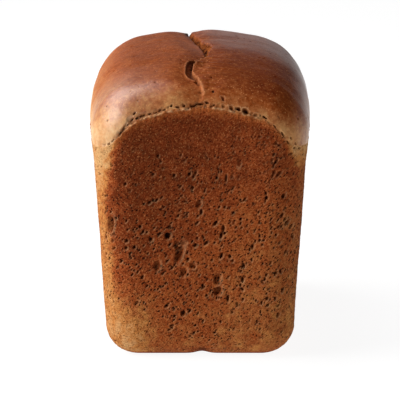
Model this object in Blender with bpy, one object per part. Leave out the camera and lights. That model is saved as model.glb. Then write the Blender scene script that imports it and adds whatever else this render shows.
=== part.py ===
"""A brick-shaped loaf of dark tin bread.

The loaf stands on its base with its length along Y and its front end at -Y.
Its origin is under the middle of the base. Lengths are in metres, and +Z is up.
"""

import bmesh
import bpy
import numpy as np

MM = 0.001

# Walls, which carry the taper of the tin from the base to its rim
BASE_HALF_WIDTH = 48.5 * MM
RIM_HALF_WIDTH = 53.9 * MM
BASE_HALF_LENGTH = 102.5 * MM
RIM_HALF_LENGTH = 110.0 * MM
RIM_HEIGHT = 108.0 * MM
BARREL = 3.5 * MM
SIDE_BULGE = 2.0 * MM
SIDE_BULGE_LOW = 96.0 * MM
SIDE_BULGE_HIGH = 129.0 * MM
END_BULGE = 1.4 * MM
END_BULGE_LOW = 103.0 * MM
END_BULGE_HIGH = 130.0 * MM
BASE_CORNER = 17.0 * MM
RIM_CORNER = 20.0 * MM
CORNER_GROWTH_END = 1.2
BASE_EDGE = 15.0 * MM

# Dome, which rose above the rim as two lobes beside a lengthwise crack
CROWN_HEIGHT = 154.0 * MM
CROWN_SIDE_DROP = 9.3 * MM
CROWN_SIDE_POWER = 1.6
CROWN_END_DROP = 9.0 * MM
CROWN_END_POWER = 3.0
SIDE_SHOULDER = 28.3 * MM
END_SHOULDER = 21.3 * MM
SHOULDER_POWER = 2.55
SHOULDER_TURN = 18.0 * MM
VALLEY_DEPTH = 2.4 * MM
VALLEY_HALF_WIDTH = 8.0 * MM

# Line where the dome tore from the wall: heights across the front end, then along the long sides
TEAR_ACROSS = np.array([-52.0, -46.0, -42.0, -39.0, -33.0, -16.0, 0.0, 18.0, 33.0, 38.0, 42.0, 46.0, 52.0])
TEAR_ACROSS *= MM
TEAR_END = np.array([111.5, 114, 118.8, 122, 127, 132, 134.3, 132, 128.2, 124.5, 120.3, 115.5, 112.5])
TEAR_END *= MM
TEAR_ALONG = np.array([-110.0, -80.0, -45.0, -10.0, 30.0, 70.0, 110.0]) * MM
TEAR_SIDE = np.array([111.5, 113.0, 117.0, 115.5, 118.0, 114.0, 111.5]) * MM
TEAR_EASE = 3.0 * MM
TEAR_LEDGE = 0.7 * MM
TEAR_LEDGE_DROP = 7.0 * MM
TEAR_EDGE = 1.4 * MM
TEAR_GROOVE = 1.5 * MM
TEAR_GROOVE_RISE = 5.0 * MM

# Crack along the top: its place across the loaf, for stations from the front end to the far end
CRACK_STATION = np.array([-110.0, -107, -103, -98, -93, -84, -70, -57, -42, -22, 9, 24, 70])
CRACK_STATION *= MM
CRACK_PLACE = np.array([-2.4, 1.8, 1.6, -2.0, -4.0, -3.2, -0.8, 2.4, 3.2, 0.0, -4.0, -6.5, -5.5])
CRACK_PLACE *= MM
CRACK_EASE = 3.0 * MM
CRACK_DEPTH = 3.0 * MM
CRACK_HALF_WIDTH = 2.4 * MM
CRACK_LIP = 1.3 * MM
LIP_HALF_WIDTH = 4.0 * MM
CRACK_START = 6.0 * MM

# Crease pressed into the base at both ends
CREASE_PLACE = 1.0 * MM
CREASE_HALF_WIDTH = 4.0 * MM
CREASE_DEPTH = 2.0 * MM
CREASE_REACH = 80.0 * MM
CREASE_FADE = 12.0 * MM
CREASE_TOP = 16.0 * MM

# Box of grid lines that is drawn onto the loaf, and the core inside the loaf that it is drawn away from
BOX_HALF_WIDTH = 56.0 * MM
BOX_HALF_LENGTH = 111.0 * MM
BOX_HEIGHT = 150.0 * MM
CORE_HALF_WIDTH = 22.0 * MM
CORE_HALF_LENGTH = 76.0 * MM
CORE_LOW = 22.0 * MM
CORE_HIGH = 122.0 * MM
DRAW_REACH = 70.0 * MM
DRAW_STEPS = 28
LENGTH_LINES = 37
SIDE_LINES = 11
WALL_LINES = 13
WALL_GRADING = 1.5
DOME_LINES = 6
TEAR_ROW = 121.0 * MM
TEAR_ROWS = np.array([-8.0 * MM, -4.0 * MM, -TEAR_EDGE, 0.0, TEAR_EDGE, 3.5 * MM, 7.5 * MM])
TEAR_ROW_REACH = 30.0 * MM
CRACK_COLUMNS = np.array([-8.5, -4.6, -2.2, 0.0, 2.2, 4.6, 8.5]) * MM
CRACK_COLUMN_REACH = 40.0 * MM
NORMAL_STEP = 0.2 * MM
FLAT_BASE = 0.01 * MM

CRUST_COLOUR = (0.16, 0.05, 0.02, 1.0)
CRUST_ROUGHNESS = 0.55


def smooth(low, high, value):
    """Eases from 0 at low to 1 at high."""
    share = np.clip((value - low) / (high - low), 0.0, 1.0)
    return share * share * (3.0 - 2.0 * share)


def hump(value, half_width):
    """A round hump of height 1 about zero."""
    return np.exp(-((value / half_width) ** 2))


def rounded_max(first, second, radius, power=2.0):
    """The larger of two distances, with the edge between them rounded to a radius."""
    u = np.maximum(first + radius, 0.0) / radius
    v = np.maximum(second + radius, 0.0) / radius
    arc = radius * (u**power + v**power) ** (1.0 / power)
    return np.minimum(np.maximum(first, second), -radius) + arc


def half_width(y, z):
    """Half the loaf's width, which grows up the walls and swells above the rim."""
    up = np.minimum(z / RIM_HEIGHT, 1.0)
    taper = BASE_HALF_WIDTH + (RIM_HALF_WIDTH - BASE_HALF_WIDTH) * up
    barrel = BARREL * (1.0 - (y / RIM_HALF_LENGTH) ** 2) * smooth(0.0, RIM_HEIGHT, z)
    return taper + barrel + SIDE_BULGE * smooth(SIDE_BULGE_LOW, SIDE_BULGE_HIGH, z)


def half_length(z):
    """Half the loaf's length, which grows up the walls."""
    up = np.minimum(z / RIM_HEIGHT, 1.0)
    taper = BASE_HALF_LENGTH + (RIM_HALF_LENGTH - BASE_HALF_LENGTH) * up
    return taper + END_BULGE * smooth(END_BULGE_LOW, END_BULGE_HIGH, z)


def eased_line(at, stations, places, ease):
    """A line through the places, with its corners eased."""
    shifts = (-ease, 0.0, ease)
    return sum(np.interp(at + shift, stations, places) for shift in shifts) / len(shifts)


def crack_place(y):
    """Where the crack runs across the top, at a station along the loaf."""
    return eased_line(y, CRACK_STATION, CRACK_PLACE, CRACK_EASE)


def crown(x, y):
    """Height of the dome's top before its shoulders are rounded."""
    side_drop = CROWN_SIDE_DROP * np.abs(x / BOX_HALF_WIDTH) ** CROWN_SIDE_POWER
    end_drop = CROWN_END_DROP * np.abs(y / BOX_HALF_LENGTH) ** CROWN_END_POWER
    valley = VALLEY_DEPTH * hump(x - crack_place(y), VALLEY_HALF_WIDTH)
    return CROWN_HEIGHT - side_drop - end_drop - valley


def wall_distances(x, y, z):
    """Distances outside the long sides and outside the ends."""
    return np.abs(x) - half_width(y, z), np.abs(y) - half_length(z)


def toward_end(x, y, z):
    """0 along the long sides, 1 across the ends, eased round the corners."""
    side, end = wall_distances(x, y, z)
    return smooth(-SHOULDER_TURN, SHOULDER_TURN, end - side)


def form(points):
    """Signed distance to the plain form of the loaf, below zero inside it."""
    x, y, z = points.T
    side, end = wall_distances(x, y, z)
    corner = BASE_CORNER + (RIM_CORNER - BASE_CORNER) * np.clip(z / RIM_HEIGHT, 0.0, CORNER_GROWTH_END)
    walls = rounded_max(side, end, corner)
    shoulder = SIDE_SHOULDER + (END_SHOULDER - SIDE_SHOULDER) * toward_end(x, y, z)
    body = rounded_max(walls, z - crown(x, y), shoulder, SHOULDER_POWER)
    return rounded_max(body, -z, BASE_EDGE)


def tear_height(points):
    """Height of the torn line between the wall and the dome, all round the loaf."""
    x, y, z = points.T
    turned = np.where(y < 0.0, x, -x)
    across = eased_line(turned, TEAR_ACROSS, TEAR_END, TEAR_EASE)
    along = eased_line(np.where(x < 0.0, y, -y), TEAR_ALONG, TEAR_SIDE, TEAR_EASE)
    return along + (across - along) * toward_end(x, y, z)


def drawn_onto_form(box_points):
    """Moves points of the box onto the plain form, along lines away from the core."""
    low = np.array([-CORE_HALF_WIDTH, -CORE_HALF_LENGTH, CORE_LOW])
    high = np.array([CORE_HALF_WIDTH, CORE_HALF_LENGTH, CORE_HIGH])
    start = np.clip(box_points, low, high)
    way = box_points - start
    way /= np.linalg.norm(way, axis=1, keepdims=True)
    near = np.zeros(len(way))
    far = np.full(len(way), DRAW_REACH)
    for _ in range(DRAW_STEPS):
        middle = (near + far) / 2.0
        inside = form(start + way * middle[:, None]) < 0.0
        near = np.where(inside, middle, near)
        far = np.where(inside, far, middle)
    return start + way * near[:, None]


def normals(points):
    """Outward directions of the plain form."""
    steps = np.eye(3) * NORMAL_STEP
    slopes = np.stack([form(points + step) - form(points - step) for step in steps], axis=1)
    return slopes / np.linalg.norm(slopes, axis=1, keepdims=True)


def tear_relief(points):
    """The wall's thin torn rim, and the groove between it and the dome."""
    above = points[:, 2] - tear_height(points)
    ledge = TEAR_LEDGE * smooth(-TEAR_LEDGE_DROP, -TEAR_EDGE, above)
    step = smooth(-TEAR_EDGE, 0.0, above)
    groove = TEAR_GROOVE * step * (1.0 - smooth(0.0, TEAR_GROOVE_RISE, above))
    return ledge * (1.0 - step) - groove


def crack_relief(points):
    """The torn groove along the dome, with the right lobe's lip beside it."""
    across = points[:, 0] - crack_place(points[:, 1])
    on_dome = smooth(0.0, CRACK_START, points[:, 2] - tear_height(points))
    lip = CRACK_LIP * hump(across - CRACK_HALF_WIDTH - LIP_HALF_WIDTH, LIP_HALF_WIDTH)
    return on_dome * (lip - CRACK_DEPTH * hump(across, CRACK_HALF_WIDTH))


def crease_relief(points):
    """The crease at the middle of the base, under each end."""
    x, y, z = points.T
    near_end = smooth(CREASE_REACH, CREASE_REACH + CREASE_FADE, np.abs(y))
    near_base = 1.0 - smooth(0.0, CREASE_TOP, z)
    return -CREASE_DEPTH * hump(x - CREASE_PLACE, CREASE_HALF_WIDTH) * near_end * near_base


def grid_lines():
    """Where the box is divided along X, Y and Z, closer at the crack, the ends and the torn line."""
    quarter = np.sin(np.linspace(0.0, np.pi / 2.0, SIDE_LINES))[1:-1]
    side = CRACK_COLUMNS[-1] + (BOX_HALF_WIDTH - CRACK_COLUMNS[-1]) * quarter
    across = np.concatenate([-side[::-1], CRACK_COLUMNS, side])
    along = BOX_HALF_LENGTH * np.sin(np.linspace(-np.pi / 2.0, np.pi / 2.0, LENGTH_LINES))[1:-1]
    wall = (TEAR_ROW + TEAR_ROWS[0]) * (np.linspace(0.0, 1.0, WALL_LINES) ** WALL_GRADING)[1:-1]
    dome = np.linspace(TEAR_ROW + TEAR_ROWS[-1], BOX_HEIGHT, DOME_LINES)[1:-1]
    return across, along, np.concatenate([wall, TEAR_ROW + TEAR_ROWS, dome])


def divided_box():
    """A box divided by the grid lines, as a bmesh."""
    bm = bmesh.new()
    bmesh.ops.create_cube(bm, size=1.0)
    bmesh.ops.translate(bm, verts=bm.verts, vec=(0.0, 0.0, 0.5))
    bmesh.ops.scale(bm, verts=bm.verts, vec=(2.0 * BOX_HALF_WIDTH, 2.0 * BOX_HALF_LENGTH, BOX_HEIGHT))
    for axis, places in enumerate(grid_lines()):
        for place in places:
            spot = np.zeros(3)
            spot[axis] = place
            way = np.zeros(3)
            way[axis] = 1.0
            everything = bm.verts[:] + bm.edges[:] + bm.faces[:]
            bmesh.ops.bisect_plane(bm, geom=everything, plane_co=spot, plane_no=way)
    return bm


def follow_lines(box_points):
    """Bends the grid so that its rows follow the torn line and its columns follow the crack."""
    surface = drawn_onto_form(box_points)
    bent = box_points.copy()
    row_pull = 1.0 - smooth(np.abs(TEAR_ROWS[0]), TEAR_ROW_REACH, np.abs(box_points[:, 2] - TEAR_ROW))
    bent[:, 2] += (tear_height(surface) - TEAR_ROW) * row_pull
    column_pull = 1.0 - smooth(CRACK_COLUMNS[-1], CRACK_COLUMN_REACH, np.abs(box_points[:, 0]))
    column_pull *= smooth(TEAR_ROW - TEAR_ROW_REACH, TEAR_ROW, box_points[:, 2])
    bent[:, 0] += crack_place(surface[:, 1]) * column_pull
    return bent


def crust_material():
    """Dark baked crust."""
    material = bpy.data.materials.new("crust")
    material.use_nodes = True
    shader = material.node_tree.nodes["Principled BSDF"]
    shader.inputs["Base Color"].default_value = CRUST_COLOUR
    shader.inputs["Roughness"].default_value = CRUST_ROUGHNESS
    shader.inputs["Metallic"].default_value = 0.0
    return material


def loaf():
    """The whole loaf as one closed body."""
    bm = divided_box()
    box_points = np.array([vert.co for vert in bm.verts])
    plain = drawn_onto_form(follow_lines(box_points))
    relief = tear_relief(plain) + crack_relief(plain) + crease_relief(plain)
    shaped = plain + normals(plain) * relief[:, None]
    shaped[np.abs(shaped[:, 2]) < FLAT_BASE, 2] = 0.0
    for vert, place in zip(bm.verts, shaped):
        vert.co = place
    mesh = bpy.data.meshes.new("loaf")
    bm.to_mesh(mesh)
    bm.free()
    mesh.shade_smooth()
    mesh.materials.append(crust_material())
    return bpy.data.objects.new("loaf", mesh)


def main():
    for obj in list(bpy.data.objects):
        bpy.data.objects.remove(obj)
    parts = bpy.data.collections.new("tin loaf")
    bpy.context.scene.collection.children.link(parts)
    parts.objects.link(loaf())


main()
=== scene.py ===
"""A dark tin loaf as one dense crust: a porous tin-baked wall, a torn edge, a satin dome and its crack."""

import itertools
import math

import bpy
import mathutils
import numpy as np
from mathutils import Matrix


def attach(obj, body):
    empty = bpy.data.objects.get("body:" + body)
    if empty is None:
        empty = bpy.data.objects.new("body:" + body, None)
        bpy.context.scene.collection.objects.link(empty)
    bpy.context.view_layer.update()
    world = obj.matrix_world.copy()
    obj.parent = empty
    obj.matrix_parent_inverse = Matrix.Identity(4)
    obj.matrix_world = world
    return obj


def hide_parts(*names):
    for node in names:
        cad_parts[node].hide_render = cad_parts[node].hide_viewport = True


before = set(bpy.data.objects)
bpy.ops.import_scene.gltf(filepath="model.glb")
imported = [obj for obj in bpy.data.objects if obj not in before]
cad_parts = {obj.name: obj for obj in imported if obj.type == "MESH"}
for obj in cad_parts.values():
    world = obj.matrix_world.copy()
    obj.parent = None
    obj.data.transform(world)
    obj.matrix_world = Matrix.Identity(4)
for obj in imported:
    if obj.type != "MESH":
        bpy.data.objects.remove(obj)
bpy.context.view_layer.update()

MM = 0.001

# Walls, as in the solid
BASE_HALF_WIDTH = 48.5 * MM
RIM_HALF_WIDTH = 53.9 * MM
BASE_HALF_LENGTH = 102.5 * MM
RIM_HALF_LENGTH = 110.0 * MM
RIM_HEIGHT = 108.0 * MM
BARREL = 3.5 * MM
SIDE_BULGE = 2.0 * MM
SIDE_BULGE_LOW = 96.0 * MM
SIDE_BULGE_HIGH = 129.0 * MM
END_BULGE = 1.4 * MM
END_BULGE_LOW = 103.0 * MM
END_BULGE_HIGH = 130.0 * MM
BASE_CORNER = 17.0 * MM
RIM_CORNER = 20.0 * MM
CORNER_GROWTH_END = 1.2
BASE_EDGE = 15.0 * MM

# Dome, as in the solid
CROWN_HEIGHT = 154.0 * MM
CROWN_SIDE_DROP = 9.3 * MM
CROWN_SIDE_POWER = 1.6
CROWN_END_DROP = 9.0 * MM
CROWN_END_POWER = 3.0
SIDE_SHOULDER = 28.3 * MM
END_SHOULDER = 21.3 * MM
SHOULDER_POWER = 2.55
SHOULDER_TURN = 18.0 * MM
VALLEY_DEPTH = 2.4 * MM
VALLEY_HALF_WIDTH = 8.0 * MM

# Torn line, as in the solid
TEAR_ACROSS = MM * np.array([-52.0, -46, -42, -39, -33, -16, 0, 18, 33, 38, 42, 46, 52])
TEAR_END = MM * np.array([111.5, 114, 118.8, 122, 127, 132, 134.3, 132, 128.2, 124.5, 120.3, 115.5, 112.5])
TEAR_ALONG = MM * np.array([-110.0, -80, -45, -10, 30, 70, 110])
TEAR_SIDE = MM * np.array([111.5, 113, 117, 115.5, 118, 114, 111.5])
TEAR_EASE = 3.0 * MM
TEAR_RAGGED = 0.9 * MM
TEAR_RAGGED_SIZE = 9.0 * MM
TEAR_LEDGE = 0.6 * MM
TEAR_LEDGE_DROP = 3.5 * MM
TEAR_EDGE = 0.7 * MM
TEAR_GROOVE = 1.5 * MM
TEAR_GROOVE_RISE = 4.0 * MM

# Crack along the top, as in the solid
CRACK_STATION = MM * np.array([-110.0, -107, -103, -98, -93, -84, -70, -57, -42, -22, 9, 24, 70])
CRACK_PLACE = MM * np.array([-2.4, 1.8, 1.6, -2.0, -4.0, -3.2, -0.8, 2.4, 3.2, 0.0, -4.0, -6.5, -5.5])
CRACK_EASE = 1.2 * MM

# Crease under each end, as in the solid
CREASE_PLACE = 1.0 * MM
CREASE_HALF_WIDTH = 4.0 * MM
CREASE_DEPTH = 2.0 * MM
CREASE_REACH = 80.0 * MM
CREASE_FADE = 12.0 * MM
CREASE_TOP = 16.0 * MM
CREASE_SHARE = 0.6
CREASE_SHADE_HALF = 3.6 * MM

# Box of grid lines that is drawn onto the loaf, and the core that it is drawn away from
BOX_HALF_WIDTH = 56.0 * MM
BOX_HALF_LENGTH = 111.0 * MM
BOX_HEIGHT = 150.0 * MM
CORE_HALF_WIDTH = 22.0 * MM
CORE_HALF_LENGTH = 76.0 * MM
CORE_LOW = 22.0 * MM
CORE_HIGH = 122.0 * MM
DRAW_REACH = 70.0 * MM
DRAW_STEPS = 18
NORMAL_STEP = 0.2 * MM
FINE_STEP = 0.44 * MM
FINEST_STEP = 0.3 * MM
COARSE_STEP = 1.0 * MM
CRACK_FINE_HALF = 11.0 * MM
TEAR_FINE_HALF = 5.5 * MM
FRONT_DEPTH = 45.0 * MM
TEAR_ROW = 121.0 * MM
TEAR_ROW_KEEP = 8.0 * MM
TEAR_ROW_REACH = 30.0 * MM

# The six sides of the box on the flat layout: axis and far side, place across, place up, and the axes there
LAYOUT = (
    (1, 0, 0.0, 0.0, (0, 2)),
    (1, 1, 0.115, 0.0, (0, 2)),
    (0, 0, 0.0, 0.153, (1, 2)),
    (0, 1, 0.225, 0.153, (1, 2)),
    (2, 1, 0.23, 0.0, (1, 0)),
    (2, 0, 0.0, 0.306, (1, 0)),
)
LAYOUT_SIDE = 0.46

# Kinds of pit: cell size, radius, depth, share of the cells that hold one, and seed
WIDE_PORES = (4.5 * MM, 1.0 * MM, 1.6 * MM, 0.5, 100)
OPEN_PORES = (2.5 * MM, 0.72 * MM, 1.2 * MM, 0.72, 110)
DOME_PITS = (6.5 * MM, 0.75 * MM, 0.7 * MM, 0.42, 140)
TORN_CHIPS = (2.3 * MM, 0.95 * MM, 1.5 * MM, 0.7, 200)
CRUMB_PITS = (2.8 * MM, 1.4 * MM, 1.6 * MM, 0.7, 260)
PIT_SLAB = 0.3
PIT_FLOOR = 0.5
PIT_LEAN_SPREAD = 0.7

# Fixed numbers that scatter the noise and the pits
SCATTER_STEPS = (73856093, 19349663, 83492791)
SCATTER_SEED_SHIFT = 11
SCATTER_SEED_STEP = 2654435761
SCATTER_MIX = 0x45D9F3B
WORD = 0xFFFFFFFF
NOISE_GAIN = 1.7
LAYERED_SPAN = 1.6

# Holes and dents in the front wall: place across, height, half sizes, lean from upright in degrees, depth,
# and how dark the painted shade inside them is
FRONT_DENTS = (
    (-16.8, 66.2, 1.9, 2.0, 0, 2.4, 1.0),
    (-12.2, 61.0, 1.6, 2.8, -8, 1.6, 0.5),
    (-9.0, 62.2, 2.2, 1.3, 0, 1.0, 0.3),
    (-10.8, 56.6, 2.2, 5.6, 18, 2.4, 0.5),
    (-22.3, 50.3, 2.0, 3.2, 5, 1.8, 0.5),
    (-8.6, 46.3, 1.8, 2.8, 35, 1.7, 0.5),
    (-4.0, 50.3, 2.0, 1.7, 60, 1.2, 0.35),
    (8.8, 43.0, 2.2, 3.4, 8, 1.9, 0.5),
    (9.2, 36.6, 2.3, 3.0, 30, 2.3, 0.65),
    (14.4, 32.7, 1.0, 2.2, 0, 1.5, 0.9),
    (-8.8, 24.7, 1.5, 1.8, 20, 1.6, 0.9),
    (-0.8, 83.0, 1.7, 2.5, 15, 1.5, 0.5),
    (0.6, 79.0, 0.9, 1.7, 0, 1.3, 0.9),
    (12.0, 70.2, 1.0, 2.2, -4, 1.5, 0.8),
    (13.4, 97.0, 0.7, 2.4, 0, 1.3, 0.8),
    (34.2, 86.2, 1.2, 1.3, 0, 1.7, 1.0),
    (33.9, 88.6, 0.9, 1.2, 0, 1.2, 0.7),
    (43.0, 87.0, 1.1, 1.9, 35, 1.4, 0.8),
    (39.1, 105.3, 0.8, 1.7, 30, 1.4, 0.9),
    (20.9, 75.0, 0.9, 1.0, 0, 1.5, 1.0),
    (42.5, 77.0, 0.8, 1.5, 20, 1.3, 0.8),
    (-38.6, 93.4, 0.9, 1.1, 0, 1.2, 0.9),
    (-21.6, 108.5, 0.9, 1.0, 0, 1.2, 0.9),
    (-13.3, 98.2, 0.9, 1.0, 0, 1.3, 1.0),
    (-5.5, 98.8, 1.0, 1.3, 30, 1.4, 1.0),
    (-2.3, 99.5, 0.9, 1.5, 20, 1.1, 0.6),
    (20.0, 105.3, 3.0, 1.2, 90, 0.4, 0.35),
    (-46.6, 71.5, 2.2, 5.4, 4, 2.6, 1.4),
    (-44.8, 66.2, 0.7, 0.8, 0, 1.0, 0.9),
    (-45.4, 62.6, 0.8, 0.9, 0, 1.0, 0.9),
    (-44.6, 58.8, 0.8, 1.0, 30, 1.0, 0.7),
    (-30.0, 44.0, 0.9, 1.5, 30, 1.2, 0.9),
    (-33.0, 30.0, 1.0, 1.9, 45, 1.0, 0.5),
    (27.0, 60.5, 1.1, 1.5, 10, 1.3, 0.9),
    (22.5, 50.5, 1.0, 1.7, -25, 1.3, 0.9),
    (-31.0, 71.0, 1.0, 1.1, 0, 1.4, 0.9),
    (-34.0, 60.0, 1.0, 1.2, 20, 1.4, 0.9),
    (3.5, 62.5, 1.0, 1.0, 0, 1.3, 0.8),
)
# Bubbles opened along the front end's torn line: place across, height above the line, half sizes, depth, rim
TEAR_HOLES = (
    (-54.0, 0.6, 0.7, 0.6, 1.0, 0.0), (-51.6, 0.9, 0.7, 0.7, 1.0, 0.2), (-49.3, 1.0, 0.9, 0.6, 1.0, 0.3),
    (-46.8, 0.7, 0.9, 0.8, 1.2, 0.3), (-44.8, 1.0, 0.8, 0.6, 1.0, 0.2), (-41.2, 1.2, 0.9, 0.7, 1.2, 0.3),
    (-39.0, 2.0, 0.7, 0.6, 1.0, 0.2), (-36.9, 1.0, 0.7, 0.6, 1.2, 0.0), (-34.6, 1.9, 1.0, 0.8, 1.3, 0.2),
    (-32.2, 1.1, 1.0, 0.8, 1.6, 0.2), (-33.4, 4.2, 0.6, 0.6, 1.4, 0.2), (-28.8, 0.9, 0.8, 0.5, 1.0, 0.2),
    (-25.6, 1.1, 1.0, 0.6, 1.5, 0.4), (-22.6, 0.8, 0.7, 0.5, 1.1, 0.2), (-20.6, 1.3, 0.8, 0.6, 1.4, 0.4),
    (-18.2, 0.9, 0.9, 0.6, 1.4, 0.3), (-14.6, 1.8, 0.7, 0.8, 1.7, 0.4), (-11.6, 0.9, 0.9, 0.6, 1.2, 0.5),
    (-8.0, 1.3, 0.8, 0.7, 1.5, 0.5), (-3.6, 0.7, 1.6, 0.5, 1.7, 0.2), (0.2, 1.3, 1.8, 0.5, 2.0, 0.3),
    (3.4, 1.9, 1.0, 0.5, 1.7, 0.3), (7.2, 1.4, 0.7, 0.5, 1.1, 0.3), (12.0, 1.2, 1.0, 0.9, 0.6, 0.5),
    (16.1, 0.9, 1.2, 1.2, 1.2, 0.9), (19.7, 1.1, 1.2, 1.2, 1.9, 0.8), (23.2, 1.2, 1.4, 1.3, 2.2, 1.0),
    (28.6, 0.7, 1.1, 1.1, 0.7, 0.7), (31.0, 0.9, 0.6, 0.6, 1.1, 0.2), (33.2, 0.9, 1.1, 0.7, 1.7, 0.4),
    (38.4, 0.4, 0.7, 0.6, 1.4, 0.2), (42.6, 0.6, 0.8, 1.1, 1.6, 0.3), (45.2, -0.8, 0.6, 0.9, 1.4, 0.2),
    (46.8, 2.8, 0.6, 0.7, 1.2, 0.2), (49.2, 1.2, 0.5, 0.9, 1.5, 0.2), (52.0, 2.6, 0.5, 0.8, 1.4, 0.0),
    (11.9, 4.8, 1.0, 1.1, 1.0, 0.5), (40.4, 7.4, 0.5, 0.5, 0.9, 0.0), (53.6, 0.4, 0.5, 0.8, 1.2, 0.0),
)
WEDGE_PLACE = -37.0 * MM
WEDGE_HALF = 6.0 * MM
CHIP_REACH = 5.0 * MM
CREST_DROP = 0.45 * MM
CREST_HALF = 0.65 * MM

# Along the crack: the left lobe's edge, the right lobe's edge, and the height and softness of its lip
CRACK_EDGE_STATION = MM * np.array([
    -112.0, -109.5, -108.5, -105.5, -102, -98.5, -94, -87, -78, -67, -59, -51, -48,
    -33, -20, -9, 6, 14, 27, 34, 62, 90, 112,
])
LEFT_EDGE = MM * np.array([
    -2.6, -1.6, 0.4, 1.8, 0.9, -0.6, -2.2, -3.7, -3.6, -2.1, 0.0, 2.6, 2.9,
    2.3, 1.0, -0.4, -2.5, -3.4, -5.1, -5.6, -7.9, -6.6, -6.0,
])
RIGHT_EDGE = MM * np.array([
    -2.4, -1.5, 0.5, 1.9, 1.0, -0.5, -2.1, -3.6, -3.5, -2.0, 0.0, 3.2, 3.6,
    4.5, 6.6, 5.6, 1.8, 0.6, -2.0, -3.0, -5.0, -4.0, -3.4,
])
EDGE_RAGGED = 0.55 * MM
LIP_STATION = MM * np.array([-112.0, -109, -106, -100, -94, -84, -70, -60, -50, -40, -15, 10, 112])
LIP_HEIGHT = MM * np.array([0.2, 0.6, 1.1, 1.7, 2.3, 2.6, 2.4, 1.8, 0.9, 0.5, 0.4, 0.5, 0.6])
LIP_WALL = 1.0 * MM
LIP_FADE = 8.0 * MM
LIP_LEAN = 0.25
GAP_DEPTH = 3.0 * MM
GAP_RISE = 0.8
GAP_MINIMUM = 0.6 * MM
CRUMB_HEIGHT = 1.5 * MM
CRUMB_SIZE = 2.4 * MM
SLIT_DEPTH = 1.3 * MM
SLIT_SIZE = 3.4 * MM

# The pocket beside the lip: its far edge along the loaf, its depth and its thin rim
POCKET_STATION = MM * np.array([-96.0, -94, -91, -87, -76, -66, -62, -59.5, -57.5])
POCKET_EDGE = MM * np.array([-2.0, -4.6, -6.2, -7.2, -7.2, -6.4, -5.2, -3.0, 0.5])
POCKET_DEPTH = 1.7 * MM
POCKET_RIM = 0.25 * MM
POCKET_RIM_HALF = 0.6 * MM

# Colours, from pale to dark
DOME_STOPS = (
    (0.0, (0.60, 0.37, 0.18)),
    (0.2, (0.50, 0.24, 0.085)),
    (0.4, (0.345, 0.112, 0.034)),
    (0.6, (0.27, 0.058, 0.010)),
    (1.0, (0.14, 0.021, 0.002)),
)
WALL_STOPS = (
    (0.0, (0.60, 0.34, 0.14)),
    (0.12, (0.56, 0.27, 0.10)),
    (0.26, (0.50, 0.19, 0.048)),
    (0.42, (0.36, 0.105, 0.027)),
    (0.56, (0.32, 0.070, 0.015)),
    (0.72, (0.25, 0.047, 0.010)),
    (0.86, (0.180, 0.031, 0.006)),
    (1.0, (0.13, 0.022, 0.004)),
)
TORN_STOPS = ((0.32, (0.16, 0.034, 0.007)), (0.52, (0.34, 0.09, 0.018)), (0.68, (0.44, 0.14, 0.035)))
# Pale colour of torn crumb and rims, and of the painted highlights on the lip and the pores' rims
RIM_COLOUR = (0.68, 0.39, 0.19, 1.0)
# Painted shade: one colour for the hollows' cores and the pinholes, one for grooves, cracks, holes and the
# base edge
HOLLOW_SHADE_COLOUR = (0.10, 0.07, 0.05, 1.0)
PAINTED_SHADE_COLOUR = (0.16, 0.10, 0.07, 1.0)
# Pale colour for painted highlights on the grain and for pale specks, and a dark multiplier for painted
# shade in the grain
GRAIN_HIGHLIGHT_AND_FLECKS = (0.62, 0.26, 0.09, 1.0)
GRAIN_SHADE_COLOUR = (0.38, 0.30, 0.24, 1.0)

# Fine grain, specks, pinholes and roughness
MOTTLE_SIZE = 9.0 * MM
PATCH_SIZE = 3.0 * MM
GRAIN_SIZE = 0.9 * MM
GRAIN_LEAN = 0.5
GRAIN_RISE = 0.75
GRAIN_HIGHLIGHT_SHARE = 0.26
DOME_GRAIN_SIZE = 2.4 * MM
DOME_GRAIN_HEIGHT = 0.22
SPECK_SPACING = 1.5 * MM
PINHOLE_SPACING = 1.9 * MM
PINHOLE_RISE = 0.7
PINHOLE_REACH = (0.11, 0.31)
PINHOLE_DEPTH = 0.6
TORN_SIZE = 1.6 * MM
DOME_ROUGH_SIZE = 5.0 * MM
DOME_ROUGHNESS = (0.5, 0.62)
WALL_ROUGHNESS = (0.85, 0.85, 0.85, 1.0)
BUMP_DISTANCE = 0.9 * MM

# Floor, lights and camera
FLOOR_SIZE = 12.0
FLOOR_HEIGHT = -0.0003
FLOOR_COLOUR = (0.14, 0.14, 0.14, 1.0)
FLOOR_GLOW = 0.92
LIGHT_AIM = (0.0, 0.0, 0.08)
LIGHTS = (
    ("key", (-0.88, -0.33, 0.35), 1.5, (1.0, 1.0), 24.0),
    ("high key", (-0.53, 0.22, 0.80), 1.5, (1.35, 1.5), 26.0),
    ("back light", (0.0, 0.99, 0.13), 2.5, (1.3, 0.5), 1.5),
)
SURROUND_COLOUR = (1.0, 1.0, 1.0, 1.0)
SURROUND_HIGH = 0.04
SURROUND_LOW = 0.35
SURROUND_TURN = (0.25, 0.03)
CAMERA_ELEVATION = 10.18
CAMERA_DISTANCE = 1.6212
CAMERA_AIM = (0.0, -0.09, 0.08184)
CAMERA_SIGHT = 50.0
SENSOR_WIDTH = 36.0
PHOTO_SIDE = 400.0
PIXELS_PER_METRE = 1920.0


def smooth(low, high, value):
    """Eases from 0 at low to 1 at high."""
    share = np.clip((value - low) / (high - low), 0.0, 1.0)
    return share * share * (3.0 - 2.0 * share)


def hump(value, half_width):
    """A round hump of height 1 about zero."""
    return np.exp(-((value / half_width) ** 2))


def scattered(cells, seed):
    """A fixed draw between 0 and 1 for each cell of three whole numbers."""
    mixed = np.full(len(cells), (seed + SCATTER_SEED_SHIFT) * SCATTER_SEED_STEP)
    for axis, step in enumerate(SCATTER_STEPS):
        mixed ^= cells[:, axis] * step
    mixed &= WORD
    for _ in range(2):
        mixed = ((mixed >> 16) ^ mixed) * SCATTER_MIX & WORD
    mixed = (mixed >> 16) ^ mixed
    return mixed / (WORD + 1.0)


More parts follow.
